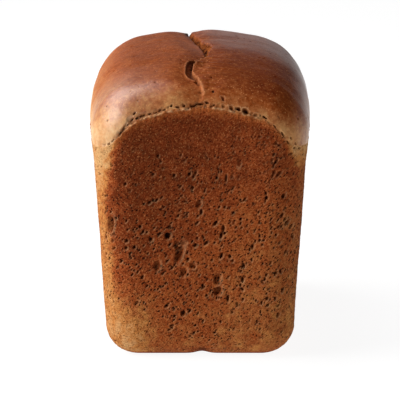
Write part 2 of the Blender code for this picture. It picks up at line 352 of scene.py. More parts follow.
def noise(points, size, seed):
    """Smooth noise between about -1 and 1, with features of the given size."""
    place = points / size
    base = np.floor(place).astype(np.int64)
    part = place - base
    ease = part**3 * (part * (part * 6.0 - 15.0) + 10.0)
    total = np.zeros(len(points))
    for corner in itertools.product((0, 1), repeat=3):
        cells = base + np.array(corner)
        offset = part - np.array(corner)
        weight = np.ones(len(points))
        value = np.zeros(len(points))
        for axis in range(3):
            weight *= ease[:, axis] if corner[axis] else 1.0 - ease[:, axis]
            value += (scattered(cells, seed * 3 + axis) * 2.0 - 1.0) * offset[:, axis]
        total += weight * value
    return total * NOISE_GAIN


def layered(points, size, seed, layers=3):
    """Noise with finer layers added at half the size and strength."""
    total = np.zeros(len(points))
    for layer in range(layers):
        total += noise(points, size / 2**layer, seed + layer) / 2**layer
    return total / LAYERED_SPAN


def rounded_max(first, second, radius, power=2.0):
    """The larger of two distances, with the edge between them rounded to a radius."""
    u = np.maximum(first + radius, 0.0) / radius
    v = np.maximum(second + radius, 0.0) / radius
    arc = radius * (u**power + v**power) ** (1.0 / power)
    return np.minimum(np.maximum(first, second), -radius) + arc


def half_width(y, z):
    """Half the loaf's width, which grows up the walls and swells above the rim."""
    up = np.minimum(z / RIM_HEIGHT, 1.0)
    taper = BASE_HALF_WIDTH + (RIM_HALF_WIDTH - BASE_HALF_WIDTH) * up
    barrel = BARREL * (1.0 - (y / RIM_HALF_LENGTH) ** 2) * smooth(0.0, RIM_HEIGHT, z)
    return taper + barrel + SIDE_BULGE * smooth(SIDE_BULGE_LOW, SIDE_BULGE_HIGH, z)


def half_length(z):
    """Half the loaf's length, which grows up the walls."""
    up = np.minimum(z / RIM_HEIGHT, 1.0)
    taper = BASE_HALF_LENGTH + (RIM_HALF_LENGTH - BASE_HALF_LENGTH) * up
    return taper + END_BULGE * smooth(END_BULGE_LOW, END_BULGE_HIGH, z)


def eased_line(at, stations, places, ease):
    """A line through the places, with its corners eased."""
    shifts = (-ease, 0.0, ease)
    return sum(np.interp(at + shift, stations, places) for shift in shifts) / len(shifts)


def crack_place(y):
    """Where the crack runs across the top, at a station along the loaf."""
    return eased_line(y, CRACK_STATION, CRACK_PLACE, CRACK_EASE)


def crown(x, y):
    """Height of the dome's top before its shoulders are rounded."""
    side_drop = CROWN_SIDE_DROP * np.abs(x / BOX_HALF_WIDTH) ** CROWN_SIDE_POWER
    end_drop = CROWN_END_DROP * np.abs(y / BOX_HALF_LENGTH) ** CROWN_END_POWER
    valley = VALLEY_DEPTH * hump(x - crack_place(y), VALLEY_HALF_WIDTH)
    return CROWN_HEIGHT - side_drop - end_drop - valley


def wall_distances(x, y, z):
    """Distances outside the long sides and outside the ends."""
    return np.abs(x) - half_width(y, z), np.abs(y) - half_length(z)


def toward_end(x, y, z):
    """0 along the long sides, 1 across the ends, eased round the corners."""
    side, end = wall_distances(x, y, z)
    return smooth(-SHOULDER_TURN, SHOULDER_TURN, end - side)


def form(points):
    """Signed distance to the plain form of the loaf, below zero inside it."""
    x, y, z = points.T
    side, end = wall_distances(x, y, z)
    corner = BASE_CORNER + (RIM_CORNER - BASE_CORNER) * np.clip(z / RIM_HEIGHT, 0.0, CORNER_GROWTH_END)
    walls = rounded_max(side, end, corner)
    shoulder = SIDE_SHOULDER + (END_SHOULDER - SIDE_SHOULDER) * toward_end(x, y, z)
    body = rounded_max(walls, z - crown(x, y), shoulder, SHOULDER_POWER)
    return rounded_max(body, -z, BASE_EDGE)


def tear_height(points):
    """Height of the ragged torn line between the wall and the dome, all round the loaf."""
    x, y, z = points.T
    turned = np.where(y < 0.0, x, -x)
    across = eased_line(turned, TEAR_ACROSS, TEAR_END, TEAR_EASE)
    along = eased_line(np.where(x < 0.0, y, -y), TEAR_ALONG, TEAR_SIDE, TEAR_EASE)
    line = along + (across - along) * toward_end(x, y, z)
    level = np.stack([x, y, np.zeros(len(x))], axis=1)
    return line + TEAR_RAGGED * layered(level, TEAR_RAGGED_SIZE, 40, 3)


def drawn_onto_form(box_points):
    """Moves points of the box onto the plain form, along lines away from the core."""
    low = np.array([-CORE_HALF_WIDTH, -CORE_HALF_LENGTH, CORE_LOW])
    high = np.array([CORE_HALF_WIDTH, CORE_HALF_LENGTH, CORE_HIGH])
    start = np.clip(box_points, low, high)
    way = box_points - start
    way /= np.linalg.norm(way, axis=1, keepdims=True)
    near = np.zeros(len(way))
    far = np.full(len(way), DRAW_REACH)
    for _ in range(DRAW_STEPS):
        middle = (near + far) / 2.0
        inside = form(start + way * middle[:, None]) < 0.0
        near = np.where(inside, middle, near)
        far = np.where(inside, far, middle)
    return start + way * near[:, None]


def normals(points):
    """Outward directions of the plain form."""
    steps = np.eye(3) * NORMAL_STEP
    slopes = np.stack([form(points + step) - form(points - step) for step in steps], axis=1)
    return slopes / np.linalg.norm(slopes, axis=1, keepdims=True)


def spaced(low, high, step):
    """Places from low to high, about a step apart."""
    return np.linspace(low, high, max(int(round((high - low) / step)), 1) + 1)


def joined(*runs):
    """One line of places from several runs that meet end to end."""
    return np.concatenate([runs[0]] + [run[1:] for run in runs[1:]])


def grid_lines():
    """Where the box is divided along X, Y and Z, closest near the front end, the crack and the tear."""
    fine = FINE_STEP
    finest = FINEST_STEP
    coarse = COARSE_STEP
    xs = joined(
        spaced(-BOX_HALF_WIDTH, -CRACK_FINE_HALF, fine),
        spaced(-CRACK_FINE_HALF, CRACK_FINE_HALF, finest),
        spaced(CRACK_FINE_HALF, BOX_HALF_WIDTH, fine),
    )
    front_end = FRONT_DEPTH - BOX_HALF_LENGTH
    ys = joined(spaced(-BOX_HALF_LENGTH, front_end, fine), spaced(front_end, BOX_HALF_LENGTH, coarse))
    zs = joined(
        spaced(0.0, TEAR_ROW - TEAR_FINE_HALF, fine),
        spaced(TEAR_ROW - TEAR_FINE_HALF, TEAR_ROW + TEAR_FINE_HALF, finest),
        spaced(TEAR_ROW + TEAR_FINE_HALF, BOX_HEIGHT, fine),
    )
    return xs, ys, zs


def box_grid():
    """Points and four-sided faces of the divided box, with each face corner's place on a flat layout."""
    lines = grid_lines()
    counts = [len(line) for line in lines]
    keys, uvs = [], []
    for axis, far, shift_u, shift_v, flat_axes in LAYOUT:
        first, second = [a for a in range(3) if a != axis]
        i, j = np.meshgrid(np.arange(counts[first] - 1), np.arange(counts[second] - 1), indexing="ij")
        corners = [(0, 0), (1, 0), (1, 1), (0, 1)]
        outward = (axis == 1) != bool(far)
        if not outward:
            corners.reverse()
        face_keys, face_uvs = [], []
        for step_i, step_j in corners:
            index = [None, None, None]
            index[axis] = np.full(i.shape, (counts[axis] - 1) * far)
            index[first] = i + step_i
            index[second] = j + step_j
            key = (index[0] * counts[1] + index[1]) * counts[2] + index[2]
            face_keys.append(key.ravel())
            flat = [lines[a][index[a]] - lines[a][0] for a in flat_axes]
            face_uvs.append(np.stack([flat[0] + shift_u, flat[1] + shift_v], axis=-1).reshape(-1, 2))
        keys.append(np.stack(face_keys, axis=1))
        uvs.append(np.stack(face_uvs, axis=1))
    used, faces = np.unique(np.concatenate(keys), return_inverse=True)
    faces = faces.reshape(-1, 4)
    index_z = used % counts[2]
    index_y = used // counts[2] % counts[1]
    index_x = used // counts[2] // counts[1]
    points = np.stack([lines[0][index_x], lines[1][index_y], lines[2][index_z]], axis=1)
    return points, faces, np.concatenate(uvs) / LAYOUT_SIDE


def follow_tear(box_points):
    """Bends the grid so that its rows follow the torn line."""
    surface = drawn_onto_form(box_points)
    pull = 1.0 - smooth(TEAR_ROW_KEEP, TEAR_ROW_REACH, np.abs(box_points[:, 2] - TEAR_ROW))
    bent = box_points.copy()
    bent[:, 2] += (tear_height(surface) - TEAR_ROW) * pull
    return bent


class Surface:
    """Points of the plain form with the directions and the pore shape there."""

    def __init__(self, points, outward, side_way, lean, stretch):
        self.points = points
        self.outward = outward
        self.side_way = side_way
        self.lean = lean
        self.stretch = stretch

    def part(self, chosen):
        parts = (self.points, self.outward, self.side_way, self.lean, self.stretch)
        return Surface(*(values[chosen] for values in parts))


def pits(surface, size, radius, depth, share, seed):
    """Hollows scattered through space, where they meet the surface: depth, painted shade in their cores and
    a painted highlight on the lower right side of their rims.
    """
    slab = PIT_SLAB * size
    base = np.floor(surface.points / size).astype(np.int64)
    deepest = np.zeros(len(base))
    core = np.zeros(len(base))
    rim = np.zeros(len(base))
    for offset in itertools.product((-1, 0, 1), repeat=3):
        cells = base + np.array(offset)
        chosen = np.flatnonzero(scattered(cells, seed) < share)
        cells = cells[chosen]
        spot = np.stack([scattered(cells, seed + 1 + axis) for axis in range(3)], axis=1)
        away = surface.points[chosen] - (cells + spot) * size
        near = np.flatnonzero((away**2).sum(axis=1) < (3.0 * radius) ** 2 + slab**2)
        chosen, cells, away = chosen[near], cells[near], away[near]
        draw = scattered(cells, seed + 4)
        own_radius = radius * (0.45 + 0.4 * draw + 0.45 * draw**5)
        own_lean = surface.lean[chosen] + (scattered(cells, seed + 5) - 0.5) * PIT_LEAN_SPREAD
        own_stretch = 1.0 + (surface.stretch[chosen] - 1.0) * scattered(cells, seed + 6)
        inward = (away * surface.outward[chosen]).sum(axis=1)
        beside = (away * surface.side_way[chosen]).sum(axis=1)
        flat = (away**2).sum(axis=1) - inward**2 - beside**2
        risen = np.sqrt(np.maximum(flat, 0.0)) * np.sign(away[:, 2])
        along = (risen * np.cos(own_lean) + beside * np.sin(own_lean)) / own_stretch
        across = (beside * np.cos(own_lean) - risen * np.sin(own_lean)) * np.sqrt(own_stretch)
        reach = np.hypot(along, across) / own_radius
        strength = (0.55 + 0.45 * draw) * (1.0 - smooth(0.8, 1.0, np.abs(inward) / slab))
        hollow = depth * strength * (1.0 - smooth(PIT_FLOOR, 1.0, reach))
        deepest[chosen] = np.maximum(deepest[chosen], hollow)
        # Painted shade in the hollow's core.
        core[chosen] = np.maximum(core[chosen], strength * (1.0 - smooth(0.45, 0.9, reach)))
        # Painted highlight on the rim's lower right side, the side that the light from the upper left falls
        # on.
        lit_side = np.clip((beside - risen) / own_radius, 0.0, 1.0)
        rim[chosen] = np.maximum(rim[chosen], strength * lit_side * hump(reach - 1.25, 0.35))
    return deepest, core, rim


def pits_on(where, surface, kind):
    """Pits of one kind on the chosen points alone."""
    found = np.zeros((3, len(surface.points)))
    chosen = np.flatnonzero(where)
    found[:, chosen] = pits(surface.part(chosen), *kind)
    return found


def wall_pore_shape(points):
    """How far the wall's drawn-out pores lean from upright, in radians, and how long they are drawn."""
    x, z = points[:, 0], points[:, 2]
    middle_top = smooth(80.0 * MM, 120.0 * MM, z) * (1.0 - smooth(12.0 * MM, 30.0 * MM, np.abs(x)))
    lower_right = hump(x - 24.0 * MM, 16.0 * MM) * hump(z - 46.0 * MM, 20.0 * MM)
    upper_right = hump(x - 34.0 * MM, 18.0 * MM) * hump(z - 86.0 * MM, 26.0 * MM)
    lean = (1.0 - middle_top) * (0.7 + 0.35 * noise(points, 28.0 * MM, 60)) - 1.25 * lower_right
    stretch = 1.55 + 1.5 * upper_right + 0.3 * noise(points, 20.0 * MM, 62)
    return lean, np.maximum(stretch, 1.05)


def front_dents(points, on_front):
    """The dents and holes that the front wall shows, the painted shade inside them and the painted highlight
    on their rims.
    """
    total = np.zeros(len(points))
    core = np.zeros(len(points))
    rim = np.zeros(len(points))
    for x, z, half_across, half_up, lean, depth, darkness in FRONT_DENTS:
        turn = math.radians(lean)
        right = points[:, 0] - x * MM
        up = points[:, 2] - z * MM
        along = (up * math.cos(turn) + right * math.sin(turn)) / (half_up * MM)
        beside = (right * math.cos(turn) - up * math.sin(turn)) / (half_across * MM)
        reach = np.hypot(along, beside)
        total = np.maximum(total, depth * MM * (1.0 - smooth(0.4, 1.0, reach)) * on_front)
        # Painted shade, darker on the left side of the long dents.
        shaded = 0.65 - 0.35 * np.clip(beside, -1.0, 1.0) if half_up > 2.4 else 1.0
        core = np.maximum(core, darkness * shaded * (1.0 - smooth(0.45, 0.95, reach)) * on_front)
        # Painted highlight on the rims' lower right side.
        lit_side = np.clip(right / (half_across * MM) - 0.5 * up / (half_up * MM), 0.0, 1.0)
        rim = np.maximum(rim, 0.8 * lit_side * hump(reach - 1.15, 0.25) * on_front)
    return total, core, rim


def tear_holes(points, above, on_front):
    """The opened bubbles along the front end's torn line: depth, painted shade in the core and thin rim."""
    total = np.zeros(len(points))
    core = np.zeros(len(points))
    rim = np.zeros(len(points))
    uneven = 1.0 + 0.45 * noise(points, 1.5 * MM, 70)
    for x, rise, half_across, half_up, depth, rim_share in TEAR_HOLES:
        reach = np.hypot((points[:, 0] - x * MM) / half_across, (above - rise * MM) / half_up) / MM * uneven
        total = np.maximum(total, depth * MM * (1.0 - smooth(0.55, 1.0, reach)) * on_front)
        # Painted shade in the core, darker in the deeper bubbles.
        darkness = 0.3 + 0.6 * smooth(0.9, 2.0, depth)
        core = np.maximum(core, darkness * (1.0 - smooth(0.5, 1.05, reach)) * on_front)
        worn = rim_share * np.clip(0.65 + 0.5 * noise(points, 1.2 * MM, 71), 0.0, 1.0)
        rim = np.maximum(rim, worn * hump(reach - 1.25, 0.22) * on_front)
    return total, core, rim


def crack_shape(surface, above):
    """Relief of the crack along the dome, its torn share, its painted shade, its pale share with a painted
    highlight on the lip, and its lip's lean.
    """
    points = surface.points
    x, y = points[:, 0], points[:, 1]
    ragged = EDGE_RAGGED * layered(points, 4.5 * MM, 80, 3)
    left = np.interp(y, CRACK_EDGE_STATION, LEFT_EDGE) + ragged
    drawn_out = points * np.array([1.0, 0.55, 1.0])
    beyond_lip = smooth(-56.0 * MM, -44.0 * MM, y)
    uneven = 0.6 * EDGE_RAGGED * noise(points, CRUMB_SIZE, 86)
    uneven += 1.3 * EDGE_RAGGED * beyond_lip * noise(drawn_out, 2.6 * MM, 87)
    right = np.interp(y, CRACK_EDGE_STATION, RIGHT_EDGE) + ragged + uneven
    on_dome = smooth(0.3 * MM, 3.0 * MM, above)
    beyond = x - right
    lip_height = np.interp(y, LIP_STATION, LIP_HEIGHT)
    along_folds = noise(points * np.array([0.3, 1.0, 1.0]), 2.0 * MM, 88)
    folds = 1.0 + 0.55 * along_folds
    lip_fade = np.exp(-np.maximum(beyond, 0.0) / LIP_FADE)
    lip = lip_height * smooth(-LIP_WALL, LIP_WALL, beyond) * lip_fade * folds

    width = np.maximum(right - left, GAP_MINIMUM)
    across = np.clip((x - left) / width, 0.0, 1.0)
    in_gap = smooth(-0.35 * MM, 0.35 * MM, x - left) * (1.0 - smooth(-0.5 * MM, 0.3 * MM, beyond))
    in_gap *= smooth(0.5 * MM, 1.6 * MM, right - left)
    crumb = CRUMB_HEIGHT * layered(drawn_out, CRUMB_SIZE, 84, 2)
    gap = in_gap * (GAP_DEPTH * (1.0 - GAP_RISE * across) - crumb)
    near_crack = np.abs(x) < CRACK_FINE_HALF
    crumb_pits, crumb_core, _ = pits_on(near_crack, surface, CRUMB_PITS)
    gap += in_gap * crumb_pits

    edge = np.interp(y, POCKET_STATION, POCKET_EDGE) + 0.5 * ragged
    in_station = (y > POCKET_STATION[0]) & (y < POCKET_STATION[-1])
    in_pocket = smooth(-0.4 * MM, 0.5 * MM, x - edge) * (1.0 - smooth(-0.5 * MM, 0.5 * MM, beyond))
    in_pocket *= in_station
    floor = 0.6 + 0.4 * smooth(0.0, 3.5 * MM, x - edge)
    pocket = POCKET_DEPTH * in_pocket * floor + 0.2 * MM * in_pocket * noise(points, 2.0 * MM, 90)
    rim = hump(x - edge + POCKET_RIM_HALF, POCKET_RIM_HALF) * in_station
    rim *= 1.0 - smooth(-1.5 * MM, 0.0, beyond)

    beside_lip = hump(beyond + 1.0 * MM, 1.0 * MM) * smooth(-114.0 * MM, -104.0 * MM, y)
    beside_lip *= y < -46.0 * MM
    slits = smooth(0.1, 0.6, noise(points * np.array([0.6, 1.0, 1.0]), SLIT_SIZE, 92)) * beside_lip
    relief = on_dome * (lip - gap - pocket + POCKET_RIM * rim - SLIT_DEPTH * slits)
    torn = on_dome * np.maximum(in_gap, 0.35 * beside_lip)
    # Painted shade in the crack: the whole gap, most beside the left lobe's edge, in the crumb's pits and
    # dark gaps, in the pocket under the lip, in the slits and beside the far left edge.
    shadowed_side = in_gap * (1.0 - smooth(0.0, 0.45, across))
    clumps = smooth(0.1, -0.6, noise(drawn_out, 2.0 * MM, 85))
    gap_shade = in_gap * np.clip(0.22 + 0.75 * shadowed_side + crumb_core + 0.8 * clumps, 0.0, 1.0)
    shade_under_lip = hump(beyond + 0.8 * MM, 1.3 * MM)
    shade_under_lip += smooth(-76.0 * MM, -60.0 * MM, y) * smooth(0.0, 4.0 * MM, x - edge)
    pocket_shade = in_pocket * np.clip(0.4 + 0.4 * shade_under_lip, 0.0, 1.0)
    far_shade = 0.7 * hump(x - left + 0.6 * MM, 1.6 * MM) * smooth(0.0 * MM, 30.0 * MM, y)
    dark = on_dome * np.clip(gap_shade + pocket_shade + 0.7 * slits + far_shade, 0.0, 1.0)
    # Painted highlight along the top of the lip, broken by its folds.
    lip_highlight = hump(beyond - 0.4 * MM, 0.9 * MM) * smooth(0.5 * MM, 1.5 * MM, lip_height)
    pale = on_dome * np.maximum(0.14 * rim, 0.24 * lip_highlight * np.clip(0.7 + 0.9 * along_folds, 0.0, 1.0))
    lean = on_dome * lip_height * LIP_LEAN * hump(beyond - 0.9 * MM, 1.2 * MM)
    return relief, torn, dark, pale, lean


def crease_relief(points):
    """The crease at the middle of the base, under each end."""
    x, y, z = points.T
    near_end = smooth(CREASE_REACH, CREASE_REACH + CREASE_FADE, np.abs(y))
    near_base = 1.0 - smooth(0.0, CREASE_TOP, z)
    return -CREASE_SHARE * CREASE_DEPTH * hump(x - CREASE_PLACE, CREASE_HALF_WIDTH) * near_end * near_base


def tear_shape(surface, above, on_front):
    """Relief of the torn edge round the loaf, its torn and pale shares and its painted shade."""
    points = surface.points
    x, y = points[:, 0], points[:, 1]
    jagged = above + 0.7 * MM * layered(points, 2.6 * MM, 176, 2) + 0.4 * MM * noise(points, 1.1 * MM, 178)
    healed = 0.9 * smooth(25.0 * MM, 33.0 * MM, x) + 0.7 * smooth(41.0 * MM, 47.0 * MM, -x)
    whole = 1.0 - healed * smooth(40.0 * MM, 80.0 * MM, -y)
    calm = 0.4 + 0.6 * on_front
    clumped = 0.25 + 0.75 * smooth(-0.3, 0.3, noise(points, 3.2 * MM, 184))
    wedge = hump(x - WEDGE_PLACE, WEDGE_HALF) * on_front * clumped
    open_tear = smooth(-0.35, 0.5, layered(points, 7.0 * MM, 180, 2))

    step = smooth(-0.45 * MM, 0.15 * MM, jagged)
    ledge_reach = smooth(-TEAR_LEDGE_DROP, -TEAR_EDGE, above)
    ledge = TEAR_LEDGE * calm * whole * (0.6 + 0.7 * open_tear) * ledge_reach
    rise = TEAR_GROOVE_RISE * (0.7 + 0.9 * wedge)
    groove = step * (1.0 - smooth(0.1, 1.0, above / rise)) * (0.1 + 0.5 * open_tear + 0.8 * wedge)
    groove *= calm * whole
    near = hump(above - 0.6 * MM, 2.2 * MM)
    holes, hole_core, hole_rim = tear_holes(points, above, on_front)
    chips, chip_core, _ = pits_on(np.abs(above) < CHIP_REACH, surface, TORN_CHIPS)
    chip_reach = hump(above - 0.9 * MM, 1.5 * MM)
    fibres = noise(points * np.array([1.0, 1.0, 0.25]), 1.15 * MM, 182)
    fibre_reach = smooth(-7.0 * MM, -1.0 * MM, above) * (1.0 - smooth(-1.0 * MM, 0.5 * MM, above))
    rough = 0.2 + 0.25 * on_front
    crumb = rough * MM * layered(points, 1.9 * MM, 190, 2) * near + 0.3 * MM * fibres * fibre_reach
    relief = ledge * (1.0 - step) - TEAR_GROOVE * groove + crumb + 0.2 * MM * hole_rim
    relief -= np.maximum(holes, 0.6 * chips * chip_reach * calm * whole)

    torn = near * (0.3 + 0.3 * open_tear) * whole
    torn = np.clip(torn + 0.6 * whole * fibre_reach * (0.5 + 1.2 * fibres), 0.0, 1.0)
    # Painted shade in the groove under the torn edge, deepest in the wedge on the left, and in the holes and
    # chips.
    shade = 0.2 * groove * open_tear + 0.3 * wedge * groove
    dark = np.clip(np.maximum(hole_core, 0.7 * chip_core * chip_reach * whole * calm) + shade, 0.0, 1.0)
    broken = smooth(-0.3, 0.4, noise(points, 2.4 * MM, 194))
    crest = hump(jagged + CREST_DROP, CREST_HALF) * (0.08 + 0.82 * broken) * (0.2 + 0.8 * whole)
    pale = np.clip(np.maximum(crest, hole_rim), 0.0, 1.0) * (1.0 - dark)
    return relief, torn, dark, pale


def crust_shape():
    """Points, faces and layout of the crust, and the shares that colour it."""
    box_points, faces, uvs = box_grid()
    plain = drawn_onto_form(follow_tear(box_points))
    outward = normals(plain)
    x, y, z = plain.T
    above = z - tear_height(plain)
    wall = 1.0 - smooth(-0.35 * MM, 0.35 * MM, above)
    upright = np.hypot(outward[:, 0], outward[:, 1])
    on_front = smooth(0.55, 0.85, -outward[:, 1])
    side_way = np.stack([-outward[:, 1], outward[:, 0], np.zeros(len(x))], axis=1)
    side_way /= np.maximum(upright, 0.05)[:, None]
    base_rest = 1.0 - smooth(0.8, 0.98, -outward[:, 2])
    surface = Surface(plain, outward, side_way, *wall_pore_shape(plain))

    on_wall = wall > 0.01
    crowd = layered(plain, 24.0 * MM, 98, 2) + 0.9 * hump(z - 55.0 * MM, 45.0 * MM) - 0.35
    busy = smooth(-0.5, 0.3, crowd - 0.5 * on_front * (1.0 - smooth(-42.0 * MM, -22.0 * MM, x)))
    sparse = 1.0 - smooth(112.0 * MM, 128.0 * MM, z)
    wide, wide_core, wide_rim = pits_on(on_wall, surface, WIDE_PORES)
    open_pores, open_core, open_rim = pits_on(on_wall, surface, OPEN_PORES)
    dents, dent_core, dent_rim = front_dents(plain, on_front * wall)
    most = np.maximum(wide * busy * sparse, open_pores * (0.25 + 0.75 * busy) * sparse)
    in_wall = np.maximum(most, dents) * wall * base_rest
    # Painted shade in the cores of the pores and dents.
    core = np.maximum(wide_core * busy * sparse, open_core * (0.2 + 0.8 * busy) * sparse)
    core = np.maximum(core, dent_core) * wall * base_rest
    # Painted highlight on the lower right side of the pores' and dents' rims.
    pore_highlight = np.maximum(wide_rim * busy * sparse, open_rim * (0.2 + 0.8 * busy) * sparse)
    pore_highlight = np.maximum(pore_highlight, dent_rim) * wall * base_rest

    in_dome, dome_core, _ = pits_on(~on_wall, surface, DOME_PITS)
    tilt = np.stack([x - 0.6 * z, y - 0.6 * z, 0.6 * z], axis=1)
    grain = layered(tilt, 1.5 * MM, 150, 2)
    swell = layered(plain, 22.0 * MM, 160, 2)
    wrinkles = noise(plain * np.array([0.4, 1.0, 1.0]), 3.2 * MM, 170)
    wall_relief = 0.24 * MM * grain * base_rest + 0.35 * MM * swell * base_rest
    dome_relief = 0.5 * MM * swell + 0.04 * MM * wrinkles + 0.02 * MM * noise(plain, 1.6 * MM, 172)

    tear, tear_torn, tear_shade, tear_pale = tear_shape(surface, above, on_front)
    crack, crack_torn, crack_shade, crack_pale, lip_lean = crack_shape(surface, above)
    relief = wall * wall_relief + (1.0 - wall) * dome_relief - in_wall - in_dome * (1.0 - wall)
    relief += tear + crack + crease_relief(plain)
    shaped = plain + outward * relief[:, None]
    shaped[:, 0] -= lip_lean
    shaped[:, 2] = np.maximum(shaped[:, 2], 0.0)

    # Painted shadow in the crease under each end and painted contact shade along the base edge.
    crease_shadow = hump(x - CREASE_PLACE, CREASE_SHADE_HALF) * (1.0 - smooth(1.8 * MM, 5.5 * MM, z))
    under = np.maximum(0.6 * (1.0 - smooth(0.3 * MM, 1.7 * MM, z)), crease_shadow)
    brown = browning(plain, outward, above, wall)
    shares = {
        "wall": wall,
        "gloss": gloss_share(plain, outward),
        "porous": wall * base_rest * sparse * (0.35 + 0.65 * busy) * (0.4 + 0.6 * smooth(0.2, 0.55, brown)),
        # Painted shade in the cores of the wall's pores and dents and of the dome's pits.
        "core": np.clip(core + dome_core * (1.0 - wall) * smooth(1.5 * MM, 4.0 * MM, above), 0.0, 1.0),
        "brown": brown,
        "torn": np.clip(tear_torn + crack_torn, 0.0, 1.0),
        "dark": np.clip(np.maximum(tear_shade, crack_shade) + under * base_rest, 0.0, 1.0),
        "pale": np.clip(tear_pale + crack_pale + 0.42 * pore_highlight * (1.0 - core), 0.0, 1.0),
    }
    return shaped, faces, uvs, shares


def gloss_share(points, outward):
    """How satin the dome is: most on its near left and where it faces right, less on its far right."""
    x, y, z = points.T
    near_left = smooth(8.0 * MM, 40.0 * MM, -x) * smooth(50.0 * MM, 95.0 * MM, -y)
    near_left *= 0.35 + 0.65 * smooth(116.0 * MM, 132.0 * MM, z)
    far_right = smooth(-45.0 * MM, 0.0, y) * smooth(-10.0 * MM, 15.0 * MM, x)
    right_side = smooth(0.6, 0.95, outward[:, 0])
    return 0.03 + 0.97 * near_left + 0.7 * far_right + 0.95 * right_side


def corner_share(points, outward):
    """0 on an end's baked panel and 1 at the corners and sides, with an uneven border between them."""
    x, z = points[:, 0], points[:, 2]
    on_left = smooth(0.0, 20.0 * MM, -x)
    on_right = smooth(0.0, 20.0 * MM, x)
    limit = 0.665 - 0.22 * smooth(98.0 * MM, 116.0 * MM, z) - 0.18 * (1.0 - smooth(8.0 * MM, 30.0 * MM, z))
    limit = limit + 0.06 * noise(points, 14.0 * MM, 210) + 0.13 * layered(points, 4.0 * MM, 212, 3)
    limit = limit + 0.06 * on_right + 0.06 * hump(z - 70.0 * MM, 14.0 * MM) * on_left
    limit = limit + 0.17 * on_right * (1.0 - smooth(92.0 * MM, 108.0 * MM, z))
    spread = 1.0 - 0.45 * on_right
    return smooth(limit - 0.28 * spread, limit + 0.17 * spread, np.abs(outward[:, 0]))


def wall_browning(points, outward, above):
    """How dark the tin-baked wall is, with painted shade on its right side and along its base edge."""
    x, y, z = points.T
    beside_panel = corner_share(points, outward)
    near_corner = smooth(60.0 * MM, 96.0 * MM, np.abs(y))
    on_right = smooth(0.0, 30.0 * MM, x)
    # Painted shade: the right side's pale corners are kept darker, less so near the top.
    right_shade = on_right * (1.0 - 0.75 * smooth(88.0 * MM, 112.0 * MM, z))
    side_pale = beside_panel * (0.35 + 0.6 * near_corner) * (1.0 - 0.68 * right_shade)
    panel = 1.0 - side_pale
    low = 1.0 - smooth(0.0, 95.0 * MM, z)
    high = smooth(75.0 * MM, 110.0 * MM, z)
    brown = 1.0 - 0.8 * side_pale
    brown -= (0.05 * (1.0 - high) + 0.38 * low) * panel
    brown -= 0.40 * smooth(-38.0 * MM, 40.0 * MM, x) * panel * (1.0 - 0.45 * high) * (1.0 - 0.55 * low)
    # The corners darker about mid height, more on the right, where this is painted shade, and paler near the
    # top.
    brown += ((0.06 + 0.12 * on_right) * hump(z - 62.0 * MM, 28.0 * MM) - 0.24 * high) * side_pale
    golden = smooth(16.0 * MM, 42.0 * MM, -x) * (1.0 - smooth(14.0 * MM, 50.0 * MM, z))
    brown -= 0.5 * golden * (1.0 - beside_panel)
    # Painted contact shade along the base edge.
    brown += 0.5 * (1.0 - smooth(0.3 * MM, 2.6 * MM, z))
    return brown - 0.36 * smooth(-6.5 * MM, 0.0, above) * panel


def dome_browning(points, above):
    """How dark the dome is: pale at its foot, darkest high on its right side, that side's extra darkness
    being partly painted shade.
    """
    x, y, z = points.T
    rise = smooth(116.0 * MM, 137.0 * MM, z)
    top = smooth(138.0 * MM, 150.0 * MM, z)
    # Darker towards the right, partly painted shade.
    right = 0.25 * smooth(-20.0 * MM, 25.0 * MM, x) + 0.22 * smooth(15.0 * MM, 40.0 * MM, x)
    right *= smooth(122.0 * MM, 144.0 * MM, z) * (1.0 - 0.3 * smooth(143.0 * MM, 150.0 * MM, z))
    brown = 0.08 + 0.36 * rise + 0.26 * top + right
    brown *= 0.7 + 0.3 * smooth(0.0, 13.0 * MM, above)
    # The right foot darker: painted shade.
    brown += 0.21 * smooth(22.0 * MM, 46.0 * MM, x) * (1.0 - smooth(118.0 * MM, 140.0 * MM, z))
    return brown + (0.06 * noise(points, 24.0 * MM, 220) + 0.1 * top * smooth(-90.0 * MM, -50.0 * MM, y))


def browning(points, outward, above, wall):
    """How dark the crust is baked, from 0, pale, to 1."""
    on_dome = dome_browning(points, above)
    mixed = on_dome + (wall_browning(points, outward, above) - on_dome) * wall
    return np.clip(mixed + 0.05 * noise(points, 7.0 * MM, 230), 0.0, 1.0)


def crust_mesh(material):
    """The loaf's crust as one closed mesh with its shares stored on its points."""
    points, faces, uvs, shares = crust_shape()
    mesh = bpy.data.meshes.new("crust")
    mesh.vertices.add(len(points))
    mesh.vertices.foreach_set("co", points.astype(np.float32).ravel())
    mesh.loops.add(faces.size)
    mesh.loops.foreach_set("vertex_index", faces.astype(np.int32).ravel())
    mesh.polygons.add(len(faces))
    mesh.polygons.foreach_set("loop_start", np.arange(0, faces.size, 4, dtype=np.int32))
    layer = mesh.uv_layers.new(name="OFBake")
    layer.data.foreach_set("uv", uvs.astype(np.float32).ravel())
    mesh.update(calc_edges=True)
    mesh.validate()
    mesh.shade_smooth()
    for name, share in shares.items():
        stored = mesh.attributes.new(name, "FLOAT", "POINT")
        stored.data.foreach_set("value", share.astype(np.float32))
    mesh.materials.append(material)
    crust = bpy.data.objects.new("crust", mesh)
    bpy.context.scene.collection.objects.link(crust)
    return crust


def set_range(node, *ends):
    """The ends of a Map Range node: from low and high, to low and high."""
    for name, end in zip(("From Min", "From Max", "To Min", "To Max"), ends):
        node.inputs[name].default_value = end


